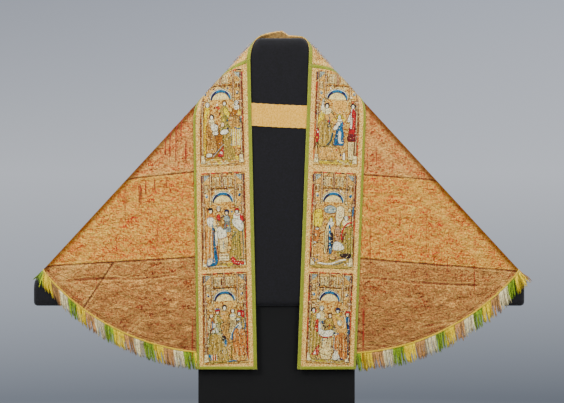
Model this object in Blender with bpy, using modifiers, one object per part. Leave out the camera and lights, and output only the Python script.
"""A cope of cloth of gold, folded over a padded black display form on its stand.

The cope is a half disc of pieced cloth with embroidered orphreys along its straight edge. It hangs
on a flat form with sloping, rounded shoulders: the back falls behind the form, and each front folds
forward over a shoulder. Every cloth piece is cut flat here, as a maker would cut it, and then draped.

Frame: +X to the right as seen from the front, +Z up, and the front faces -Y. The floor is z = 0.
In the flat cut, the back lies as it hangs and each front is opened out beyond its shoulder.
Points of the flat cut, and of a front or back face, are 2D vectors (across, up).
"""

import math

import bmesh
import bpy
from mathutils import Vector

NAME = "cope_on_display_form"
LEFT, RIGHT = -1, 1
SIDES = {"left": LEFT, "right": RIGHT}
SEAM = 0.0003  # what every two neighbouring pieces keep apart
SAME_PLACE = 1e-6  # points closer than this are one
MITRE_LIMIT = 0.3  # least cosine used for a mitred corner
SETTLING_STEPS = 30  # repeats that bring a crossing point to rest

# Shoulders: each is a roll, a half cylinder about a straight axis that slopes down and outward.
SLOPE = math.radians(42.7)  # from vertical
AXIS_TOP = (0.0718, 1.6522)  # a point of the right axis, where the neck begins
FORM_RADIUS = 0.0355  # half the form's thickness
LINING_RADIUS = 0.0362  # inner face of the neck lining
CLOTH_RADIUS = 0.0378  # inner face of the cope
NEUTRAL_RADIUS = 0.0388  # the cloth's own middle, which keeps its length round the roll
ROLL_STEPS = 12

# Cloth thicknesses
GROUND_THICK = 0.0020  # cloth of gold with its interlining and lining
ORPHREY_THICK = 0.0022  # linen with solid embroidery
SCENE_THICK = 0.0010
BRAID_THICK = 0.0012
LINING_THICK = 0.0010
FRINGE_THICK = 0.0030
CLASP_THICK = 0.0011

# Straight edge. On each front the orphrey's edges lean a little; x is given at two heights.
EDGE_HIGH, EDGE_LOW = 1.400, 0.283  # EDGE_LOW is the orphreys' bottom
INNER_EDGE = {LEFT: (-0.1252, -0.1005), RIGHT: (0.1096, 0.0680)}
OUTER_EDGE = {LEFT: (-0.3705, -0.3530), RIGHT: (0.3587, 0.3145)}
NECK_BACK = {LEFT: 1.712, RIGHT: 1.6946}  # height of the neck edge where each roll starts
NECK_TOP = (0.004, 1.714)
NECK_BAND_BOTTOM = 1.450  # lower edge of the orphrey across the back

# Seam between a front orphrey and the neck orphrey, as (down the slope, turn round the roll)
CROSS_SEAM = {
    LEFT: ((0.0850, math.pi), (0.3003, 0.48)),
    RIGHT: ((0.0920, math.pi + 0.68), (0.2735, 0.02)),
}

# Braids and embroidered scenes
INNER_BRAID, OUTER_BRAID, BOTTOM_BRAID, CROSS_BRAID = 0.0150, 0.0105, 0.0130, 0.0135
SCENE_FROM_INNER, SCENE_FROM_OUTER = 0.0330, 0.0270
SCENE_BELOW_BRAID = 0.0040
SCENE_TILT = 0.050  # the scenes' outer ends hang lower, by this share of their width
SCENES = (  # name, and heights at the inner edge
    ("top", 1.5480, 1.1440),
    ("middle", 1.1180, 0.7130),
    ("bottom", 0.6970, 0.3125),
)

# Hem: an arc on each front, and a wider one across the back
FRONT_HEM_CENTRE, FRONT_HEM_RADIUS = (0.2650, 1.3050), 0.9570
BACK_HEM_BOTTOM = 0.3260
HEM_DRIFT = 0.0120  # how far the hem climbs the slope while it turns round a roll
FRONT_HEM_STEPS, BACK_HEM_STEPS = 14, 32
HEM_BRAID = 0.0065
HEM_BRAID_START = 0.0015  # its distance from the orphrey
FRINGE_REACH = 0.0670

# Seams between the loom widths of the ground, each a line on a front: a point and an outward slope
GROUND_SEAMS = {
    (LEFT, "upper"): ((-0.3738, 1.1116), 0.104),
    (LEFT, "lower"): ((-0.3788, 0.7533), 0.060),
    (RIGHT, "upper"): ((0.3499, 1.1003), 0.074),
    (RIGHT, "lower"): ((0.3457, 0.7475), 0.080),
}
GORE_SEAM = ((-0.7132, 0.7168), (-0.8232, 0.5509))  # pieced corner of the left front

# Clasp band across the opening: left and right end of its middle line
CLASP_ENDS = ((-0.1380, 1.3553), (0.1280, 1.3423))
CLASP_HEIGHT = 0.0950
CLASP_FACE = 0.0361  # distance of its inner face from the middle plane

# Lining behind the neck
LINING_BELOW_EDGE = 0.0040
LINING_DEPTH = 0.0850
LINING_TURN = 1.9  # how far it follows each roll

# Stand
FORM_TOP = 1.6786
FORM_BOTTOM = 0.5488
FORM_ENDS = {LEFT: 1.0416, RIGHT: 1.0248}
FORM_FIRM_EDGE = 0.0120  # rounding of its ends and bottom
FORM_NECK_CORNER, FORM_ARM_CORNER, FORM_LOW_CORNER = 0.022, 0.020, 0.012
FORM_SHARP_ANGLE = math.radians(35)
FORM_SECTIONS = 9
CORNER_STEPS = 4
POST_WIDTH, POST_DEPTH, POST_SHIFT = 0.6600, 0.0360, -0.0190
BASE_WIDTH, BASE_DEPTH, BASE_HEIGHT = 0.9200, 0.5600, 0.0300
BOARD_BEVEL = 0.0040

COLOURS = {  # colour, roughness, metallic
    "cloth_of_gold": ((0.50, 0.27, 0.10), 0.55, 0.35),
    "embroidery": ((0.52, 0.38, 0.20), 0.75, 0.10),
    "green_braid": ((0.33, 0.36, 0.06), 0.80, 0.00),
    "yellow_braid": ((0.70, 0.52, 0.10), 0.80, 0.00),
    "fringe": ((0.68, 0.62, 0.34), 0.85, 0.00),
    "lining_silk": ((0.46, 0.40, 0.32), 0.70, 0.00),
    "clasp_weave": ((0.60, 0.44, 0.26), 0.85, 0.00),
    "black_cloth": ((0.02, 0.02, 0.022), 0.90, 0.00),
}


# ---- scene and materials -------------------------------------------------------------------------


def clear_scene():
    for old in list(bpy.data.objects):
        bpy.data.objects.remove(old, do_unlink=True)
    for old in list(bpy.data.collections):
        bpy.data.collections.remove(old)


def make_materials():
    made = {}
    for name, (colour, roughness, metallic) in COLOURS.items():
        material = bpy.data.materials.new(name)
        material.use_nodes = True
        shader = material.node_tree.nodes["Principled BSDF"]
        shader.inputs["Base Color"].default_value = (*colour, 1.0)
        shader.inputs["Roughness"].default_value = roughness
        shader.inputs["Metallic"].default_value = metallic
        made[name] = material
    return made


def add_object(name, mesh, material):
    piece = bpy.data.objects.new(name, mesh)
    mesh.materials.append(material)
    bpy.data.collections[NAME].objects.link(piece)
    return piece


# ---- the shoulder rolls --------------------------------------------------------------------------


def roll_frame(side):
    """A point of the roll's axis, the direction down its slope, and the direction out of it."""
    start = Vector((side * AXIS_TOP[0], AXIS_TOP[1]))
    along = Vector((side * math.sin(SLOPE), -math.cos(SLOPE)))
    out = Vector((side * math.cos(SLOPE), math.sin(SLOPE)))
    return start, along, out


def on_roll(side, down, turn):
    """Flat place of a point on a roll. Turn is 0 where the roll leaves the back, pi at the front."""
    start, along, out = roll_frame(side)
    return start + along * down + out * (NEUTRAL_RADIUS * turn)


def open_out(side, x, z):
    """Flat place of a point that hangs at (x, z) on a front."""
    start, _, out = roll_frame(side)
    hanging = Vector((x, z))
    inward = -(hanging - start).dot(out)
    return hanging + out * (2 * inward + math.pi * NEUTRAL_RADIUS)


def drape(flat, radius):
    """Folds a flat point over the shoulders, with its face at this distance from the middle plane."""
    side = LEFT if flat.x < 0 else RIGHT
    start, _, out = roll_frame(side)
    across = (flat - start).dot(out)
    if across <= 0:
        return Vector((flat.x, radius, flat.y))
    foot = flat - out * across
    turn = across / NEUTRAL_RADIUS
    if turn < math.pi:
        place = foot + out * (radius * math.sin(turn))
        return Vector((place.x, radius * math.cos(turn), place.y))
    place = foot - out * (across - math.pi * NEUTRAL_RADIUS)
    return Vector((place.x, -radius, place.y))


# ---- flat outlines -------------------------------------------------------------------------------


def moved_in(points, distance):
    """A run of points moved to its right-hand side by a distance, with mitred corners."""
    moved = []
    for i, point in enumerate(points):
        before = (point - points[i - 1]).normalized() if i > 0 else None
        after = (points[i + 1] - point).normalized() if i + 1 < len(points) else before
        before = before or after
        bisector = (before + after).normalized()
        right = Vector((bisector.y, -bisector.x))
        moved.append(point + right * (distance / max(bisector.dot(after), MITRE_LIMIT)))
    return moved


def shrunk(outline, distance):
    """A clockwise outline with every side moved inward by a distance."""
    ring = [outline[-1], *outline, outline[0]]
    return moved_in(ring, distance)[1:-1]


def clipped(outline, point, normal):
    """The part of an outline on the side of a line that the normal points to."""
    kept = []
    for a, b in zip(outline, outline[1:] + outline[:1]):
        height_a, height_b = (a - point).dot(normal), (b - point).dot(normal)
        if height_a >= 0:
            kept.append(a)
        if (height_a >= 0) != (height_b >= 0):
            kept.append(a.lerp(b, height_a / (height_a - height_b)))
    return kept


def line_normal(a, b, towards):
    """The unit normal of the line through a and b, on the side of a third point."""
    direction = (b - a).normalized()
    normal = Vector((-direction.y, direction.x))
    return normal if (towards - a).dot(normal) > 0 else -normal


def edge_x(edge, side, z):
    high, low = edge[side]
    return low + (high - low) * (z - EDGE_LOW) / (EDGE_HIGH - EDGE_LOW)


def roll_start(edge, side):
    """Where an edge of the orphrey reaches the roll on the front, in the flat cut."""
    start, along, _ = roll_frame(side)
    z = EDGE_HIGH
    for _ in range(SETTLING_STEPS):
        z = start.y + (edge_x(edge, side, z) - start.x) / along.x * along.y
    return open_out(side, edge_x(edge, side, z), z)


def axis_point(side, z):
    """The point of a roll's axis at a height, which is where the back begins."""
    start, along, _ = roll_frame(side)
    return start + along * ((z - start.y) / along.y)


def half_edge(edge, side, back_height):
    """One edge of the orphrey, from its bottom on a front, over the roll, to the back."""
    return [
        open_out(side, edge_x(edge, side, EDGE_LOW), EDGE_LOW),
        roll_start(edge, side),
        axis_point(side, back_height),
    ]


def inner_edge():
    """The cope's straight edge, from the left bottom round the neck to the right bottom."""
    left = half_edge(INNER_EDGE, LEFT, NECK_BACK[LEFT])
    right = half_edge(INNER_EDGE, RIGHT, NECK_BACK[RIGHT])
    return [*left, Vector(NECK_TOP), *reversed(right)]


def outer_edge():
    """Where the orphrey meets the ground, from the left bottom to the right bottom."""
    left = half_edge(OUTER_EDGE, LEFT, NECK_BAND_BOTTOM)
    right = half_edge(OUTER_EDGE, RIGHT, NECK_BAND_BOTTOM)
    return [*left, *reversed(right)]


def hem_start(side):
    """Where a front's hem meets the orphrey."""
    centre_x, centre_z = FRONT_HEM_CENTRE
    z = EDGE_LOW
    for _ in range(SETTLING_STEPS):
        aside = abs(edge_x(OUTER_EDGE, side, z)) - centre_x
        z = centre_z - math.sqrt(FRONT_HEM_RADIUS**2 - aside**2)
    return math.asin(aside / FRONT_HEM_RADIUS)


def front_hem(side):
    """Bottom edge of the ground on a front, from the orphrey to the roll."""
    centre_x, centre_z = FRONT_HEM_CENTRE
    start, _, out = roll_frame(RIGHT)
    to_axis = (start - Vector(FRONT_HEM_CENTRE)).dot(out)
    first = hem_start(side)
    last = SLOPE + math.asin(to_axis / FRONT_HEM_RADIUS)
    points = []
    for i in range(FRONT_HEM_STEPS + 1):
        angle = first + (last - first) * i / FRONT_HEM_STEPS
        x = side * (centre_x + FRONT_HEM_RADIUS * math.sin(angle))
        z = centre_z - FRONT_HEM_RADIUS * math.cos(angle)
        points.append(open_out(side, x, z))
    return points


def roll_hem(side):
    """Bottom edge of the ground round a roll, from the front to the back, with neither end."""
    start, along, _ = roll_frame(side)
    down = (front_hem(side)[-1] - start).dot(along)
    points = []
    for i in range(1, ROLL_STEPS):
        share = i / ROLL_STEPS
        points.append(on_roll(side, down - HEM_DRIFT * share, math.pi * (1 - share)))
    return points


def back_hem():
    """Bottom edge of the ground across the back, from left to right."""
    start, along, _ = roll_frame(RIGHT)
    corner = start + along * ((front_hem(RIGHT)[-1] - start).dot(along) - HEM_DRIFT)
    height = corner.y - BACK_HEM_BOTTOM
    radius = (corner.x**2 + height**2) / (2 * height)
    widest = math.asin(corner.x / radius)
    points = []
    for i in range(BACK_HEM_STEPS + 1):
        angle = widest * (2 * i / BACK_HEM_STEPS - 1)
        z = BACK_HEM_BOTTOM + radius * (1 - math.cos(angle))
        points.append(Vector((radius * math.sin(angle), z)))
    return points


def hem_stretches():
    """The whole hem from left to right, as the left front, the back and the right front."""
    left = front_hem(LEFT) + roll_hem(LEFT)
    back = back_hem()
    right = [*reversed(roll_hem(RIGHT)), *reversed(front_hem(RIGHT))]
    return {"left": [*left, back[0]], "back": back, "right": [back[-1], *right]}


def band(from_inner, from_outer):
    """A strip of the orphrey, by its distances from the inner and the outer edge."""
    top = moved_in(inner_edge(), from_inner)
    bottom = moved_in(outer_edge(), -from_outer)
    return [*top, *reversed(bottom)]


def edge_strip(edge, first, last):
    """A strip beside one edge of the orphrey, between two distances to its right-hand side."""
    return [*moved_in(edge, first), *reversed(moved_in(edge, last))]


def kept_side(outline, line, towards):
    """The part of an outline that lies on one side of a line, given as two points."""
    return clipped(outline, line[0], line_normal(*line, towards))


def front_bottom(side):
    """A point at the bottom of a front orphrey, in the flat cut."""
    return open_out(side, INNER_EDGE[side][1], EDGE_LOW)


def cross_line(side, below=0.0):
    """The neck orphrey's seam on one side, or a line that lies this far below it."""
    inner, outer = [on_roll(side, *place) for place in CROSS_SEAM[side]]
    shift = line_normal(inner, outer, front_bottom(side)) * below
    return inner + shift, outer + shift


def station(side, z):
    """A line straight across a front orphrey, tilted as the scenes are."""
    x_in, x_out = edge_x(INNER_EDGE, side, z), edge_x(OUTER_EDGE, side, z)
    return open_out(side, x_in, z), open_out(side, x_out, z - SCENE_TILT * abs(x_out - x_in))


def front_stretch(outline, side):
    return kept_side(outline, cross_line(side), front_bottom(side))


def neck_stretch(outline):
    for side in (LEFT, RIGHT):
        outline = kept_side(outline, cross_line(side), Vector(NECK_TOP))
    return outline


def seam_line(side, name):
    """A seam of the ground in the flat cut, from where it starts at the orphrey."""
    (x, z), slope = GROUND_SEAMS[side, name]
    return open_out(side, x, z), open_out(side, x + side, z - slope)


def ground_outlines():
    """The ground's pieces, cut from one half disc along its seams."""
    left, back, right = hem_stretches().values()
    hem = [*left[:-1], *back[:-1], *right]
    whole = [*outer_edge()[1:-1], *reversed(hem)]
    middle = Vector((0, NECK_BAND_BOTTOM - SCENE_FROM_INNER))
    pieces = {"ground_centre": whole}
    for word, side in SIDES.items():
        upper, lower = seam_line(side, "upper"), seam_line(side, "lower")
        pieces["ground_centre"] = kept_side(pieces["ground_centre"], upper, middle)
        rest = clipped(whole, upper[0], -line_normal(*upper, middle))
        pieces[f"ground_{word}_middle"] = kept_side(rest, lower, middle)
        pieces[f"ground_{word}_lower"] = clipped(rest, lower[0], -line_normal(*lower, middle))
    gore = [open_out(LEFT, *point) for point in GORE_SEAM]
    low_left = pieces["ground_left_lower"]
    normal = line_normal(*gore, front_bottom(LEFT))
    pieces["ground_left_lower"] = clipped(low_left, gore[0], normal)
    pieces["ground_left_gore"] = clipped(low_left, gore[0], -normal)
    return pieces


def hanging(flat, reach):
    """Where a thread's end hangs, from a flat point: straight down, or along the roll it lies on."""
    side = LEFT if flat.x < 0 else RIGHT
    start, along, out = roll_frame(side)
    turn = min(max((flat - start).dot(out) / NEUTRAL_RADIUS, 0.0), math.pi)
    return flat + (along * math.cos(SLOPE) - out * (math.sin(SLOPE) * math.cos(turn))) * reach


# ---- cloth pieces --------------------------------------------------------------------------------


def score(bm, point, normal):
    """Draws a fold line across the flat cut, so that the cloth can bend there."""
    everything = bm.verts[:] + bm.edges[:] + bm.faces[:]
    bmesh.ops.bisect_plane(
        bm,
        geom=everything,
        dist=SAME_PLACE,
        plane_co=(point.x, 0, point.y),
        plane_no=(normal.x, 0, normal.y),
    )


def cloth(name, outlines, radius, thickness, material):
    """One cloth piece: cut flat from its outlines, scored, draped, and given its thickness."""
    bm = bmesh.new()
    for outline in outlines:
        face = bm.faces.new([bm.verts.new((p.x, 0, p.y)) for p in outline])
        face.normal_update()
        if face.normal.y < 0:
            face.normal_flip()
    bmesh.ops.remove_doubles(bm, verts=bm.verts, dist=SAME_PLACE)
    for side in (LEFT, RIGHT):
        _, _, out = roll_frame(side)
        for step in range(ROLL_STEPS + 1):
            score(bm, on_roll(side, 0, math.pi * step / ROLL_STEPS), out)
    for vertex in bm.verts:
        vertex.co = drape(Vector((vertex.co.x, vertex.co.z)), radius)
    mesh = bpy.data.meshes.new(name)
    bm.to_mesh(mesh)
    bm.free()
    piece = add_object(name, mesh, material)
    shell = piece.modifiers.new("thickness", "SOLIDIFY")
    shell.thickness = thickness
    shell.offset = 1.0
    shell.use_even_offset = True
    return piece


def sewn(name, outline, radius, thickness, material):
    """A cloth piece with half a seam's gap taken off all round."""
    return cloth(name, [shrunk(outline, SEAM / 2)], radius, thickness, material)


def make_ground(materials):
    for name, outline in ground_outlines().items():
        sewn(name, outline, CLOTH_RADIUS, GROUND_THICK, materials["cloth_of_gold"])


def make_orphreys(materials):
    stuff = materials["embroidery"]
    whole = band(0, 0)
    on_top = CLOTH_RADIUS + ORPHREY_THICK + SEAM
    sewn("orphrey_neck", neck_stretch(whole), CLOTH_RADIUS, ORPHREY_THICK, stuff)
    for word, side in SIDES.items():
        front = front_stretch(whole, side)
        sewn(f"orphrey_{word}", front, CLOTH_RADIUS, ORPHREY_THICK, stuff)
        for name, top, bottom in SCENES:
            scene = band(SCENE_FROM_INNER, SCENE_FROM_OUTER)
            scene = kept_side(scene, station(side, top), front_bottom(side))
            scene = kept_side(scene, station(side, bottom), Vector(NECK_TOP))
            below_braid = cross_line(side, CROSS_BRAID + SCENE_BELOW_BRAID)
            scene = kept_side(scene, below_braid, front_bottom(side))
            sewn(f"scene_{word}_{name}", scene, on_top, SCENE_THICK, stuff)


def make_braids(materials):
    """Green braid along every edge of the orphreys, and across their upper seams."""
    green = materials["green_braid"]
    on_top = CLOTH_RADIUS + ORPHREY_THICK + SEAM
    inner = edge_strip(inner_edge(), 0, INNER_BRAID)
    outer = edge_strip(outer_edge(), -OUTER_BRAID, 0)
    sewn("braid_neck_inner", neck_stretch(inner), on_top, BRAID_THICK, green)
    sewn("braid_neck_outer", neck_stretch(outer), on_top, BRAID_THICK, green)
    for word, side in SIDES.items():
        between = front_stretch(band(INNER_BRAID, OUTER_BRAID), side)
        bottom_line = (
            open_out(side, INNER_EDGE[side][1], EDGE_LOW + BOTTOM_BRAID),
            open_out(side, OUTER_EDGE[side][1], EDGE_LOW + BOTTOM_BRAID),
        )
        bottom = clipped(between, bottom_line[0], -line_normal(*bottom_line, Vector(NECK_TOP)))
        cross = kept_side(between, cross_line(side, CROSS_BRAID), Vector(NECK_TOP))
        strips = {
            "inner": front_stretch(inner, side),
            "outer": front_stretch(outer, side),
            "bottom": bottom,
            "cross": cross,
        }
        for name, outline in strips.items():
            sewn(f"braid_{word}_{name}", outline, on_top, BRAID_THICK, green)


def make_hem(materials):
    """A narrow braid on the hem and a fringe below it, each in three stretches."""
    on_top = CLOTH_RADIUS + GROUND_THICK + SEAM
    for word, hem in hem_stretches().items():
        braid = [*moved_in(hem, -HEM_BRAID), *reversed(hem)]
        if word in SIDES:
            edge = half_edge(OUTER_EDGE, SIDES[word], NECK_BAND_BOTTOM)[:2]
            away = line_normal(*edge, Vector((0, BACK_HEM_BOTTOM)))
            braid = clipped(braid, edge[0] + away * HEM_BRAID_START, away)
        sewn(f"hem_braid_{word}", braid, on_top, BRAID_THICK, materials["yellow_braid"])
        make_fringe(f"fringe_{word}", hem, materials["fringe"])


def make_fringe(name, hem, material):
    top = moved_in(hem, SEAM / 2)
    for end, neighbour in ((0, 1), (-1, -2)):
        top[end] = top[end] + (top[neighbour] - top[end]).normalized() * SEAM
    bottom = [hanging(point, FRINGE_REACH) for point in top]
    strip = [[top[i], top[i + 1], bottom[i + 1], bottom[i]] for i in range(len(hem) - 1)]
    cloth(name, strip, CLOTH_RADIUS, FRINGE_THICK, material)


def make_neck_lining(materials):
    """The facing that shows behind the neck, above the form."""
    lining = edge_strip(inner_edge(), LINING_BELOW_EDGE, LINING_DEPTH)
    for side in (LEFT, RIGHT):
        _, _, out = roll_frame(side)
        lining = clipped(lining, on_roll(side, 0, LINING_TURN), -out)
    silk = materials["lining_silk"]
    cloth("neck_lining", [lining], LINING_RADIUS, LINING_THICK, silk)


def make_clasp_band(materials):
    """A woven band that joins the fronts across the chest. Its ends lie behind the orphreys."""
    left, right = (Vector((x, -CLASP_FACE, z)) for x, z in CLASP_ENDS)
    half = Vector((0, 0, CLASP_HEIGHT / 2))
    bm = bmesh.new()
    corners = (left - half, right - half, right + half, left + half)
    bm.faces.new([bm.verts.new(corner) for corner in corners])
    mesh = bpy.data.meshes.new("clasp_band")
    bm.to_mesh(mesh)
    bm.free()
    piece = add_object("clasp_band", mesh, materials["clasp_weave"])
    shell = piece.modifiers.new("thickness", "SOLIDIFY")
    shell.thickness = CLASP_THICK
    shell.offset = 1.0


# ---- stand ---------------------------------------------------------------------------------------


def crossing(point_a, normal_a, point_b, normal_b):
    """Where two lines meet, each given by a point and its normal."""
    a, b = point_a.dot(normal_a), point_b.dot(normal_b)
    det = normal_a.x * normal_b.y - normal_a.y * normal_b.x
    x = (a * normal_b.y - b * normal_a.y) / det
    return Vector((x, (normal_a.x * b - normal_b.x * a) / det))


def form_outline(soft_inset, firm_inset):
    """The form's outline with its soft sides and its firm sides moved in, corners rounded."""
    up, down = Vector((0, 1)), Vector((0, -1))
    ends = {side: Vector((side * FORM_ENDS[side], 0)) for side in (LEFT, RIGHT)}
    sides = [(Vector((0, FORM_TOP)), up, soft_inset, FORM_NECK_CORNER)]
    start, _, out = roll_frame(RIGHT)
    sides.append((start + out * FORM_RADIUS, out, soft_inset, FORM_ARM_CORNER))
    sides.append((ends[RIGHT], Vector((RIGHT, 0)), firm_inset, FORM_LOW_CORNER))
    sides.append((Vector((0, FORM_BOTTOM)), down, firm_inset, FORM_LOW_CORNER))
    sides.append((ends[LEFT], Vector((LEFT, 0)), firm_inset, FORM_ARM_CORNER))
    start, _, out = roll_frame(LEFT)
    sides.append((start + out * FORM_RADIUS, out, soft_inset, FORM_NECK_CORNER))
    ring = []
    for i, (point_a, normal_a, inset_a, corner_radius) in enumerate(sides):
        point_b, normal_b, inset_b, _ = sides[(i + 1) % len(sides)]
        inner_a = point_a - normal_a * (inset_a + corner_radius)
        inner_b = point_b - normal_b * (inset_b + corner_radius)
        centre = crossing(inner_a, normal_a, inner_b, normal_b)
        for step in range(CORNER_STEPS + 1):
            direction = normal_a.slerp(normal_b, step / CORNER_STEPS)
            ring.append(centre + direction * corner_radius)
    return ring


def make_form(materials):
    """The padded form: a loft of outlines from its front face to its back face."""
    firm_flat = FORM_RADIUS - FORM_FIRM_EDGE
    bm = bmesh.new()
    rings = []
    for i in range(FORM_SECTIONS):
        angle = math.pi * (i / (FORM_SECTIONS - 1) - 0.5)
        y = FORM_RADIUS * math.sin(angle)
        over = max(abs(y) - firm_flat, 0.0)
        firm = FORM_FIRM_EDGE - math.sqrt(max(FORM_FIRM_EDGE**2 - over**2, 0.0))
        outline = form_outline(FORM_RADIUS * (1 - math.cos(angle)), firm)
        rings.append([bm.verts.new((p.x, y, p.y)) for p in outline])
    for ring, following in zip(rings, rings[1:]):
        for i in range(len(ring)):
            j = (i + 1) % len(ring)
            bm.faces.new((ring[i], ring[j], following[j], following[i]))
    bm.faces.new(rings[0])
    bm.faces.new(list(reversed(rings[-1])))
    bmesh.ops.recalc_face_normals(bm, faces=bm.faces)
    mesh = bpy.data.meshes.new("stand_form")
    bm.to_mesh(mesh)
    bm.free()
    mesh.shade_smooth()
    mesh.set_sharp_from_angle(angle=FORM_SHARP_ANGLE)
    add_object("stand_form", mesh, materials["black_cloth"])


def make_board(name, size, centre, material):
    bm = bmesh.new()
    bmesh.ops.create_cube(bm, size=1.0)
    bmesh.ops.scale(bm, vec=size, verts=bm.verts)
    mesh = bpy.data.meshes.new(name)
    bm.to_mesh(mesh)
    bm.free()
    board = add_object(name, mesh, material)
    board.location = centre
    bevel = board.modifiers.new("edges", "BEVEL")
    bevel.width = BOARD_BEVEL
    bevel.segments = 2
    return board


def make_stand(materials):
    black = materials["black_cloth"]
    make_form(materials)
    post_bottom = BASE_HEIGHT + SEAM
    post_height = FORM_BOTTOM - SEAM - post_bottom
    middle = (POST_SHIFT, 0, post_bottom + post_height / 2)
    make_board("stand_post", (POST_WIDTH, POST_DEPTH, post_height), middle, black)
    base_middle = (0, 0, BASE_HEIGHT / 2)
    make_board("stand_base", (BASE_WIDTH, BASE_DEPTH, BASE_HEIGHT), base_middle, black)


def main():
    clear_scene()
    collection = bpy.data.collections.new(NAME)
    bpy.context.scene.collection.children.link(collection)
    materials = make_materials()
    make_stand(materials)
    make_ground(materials)
    make_orphreys(materials)
    make_braids(materials)
    make_hem(materials)
    make_neck_lining(materials)
    make_clasp_band(materials)


main()
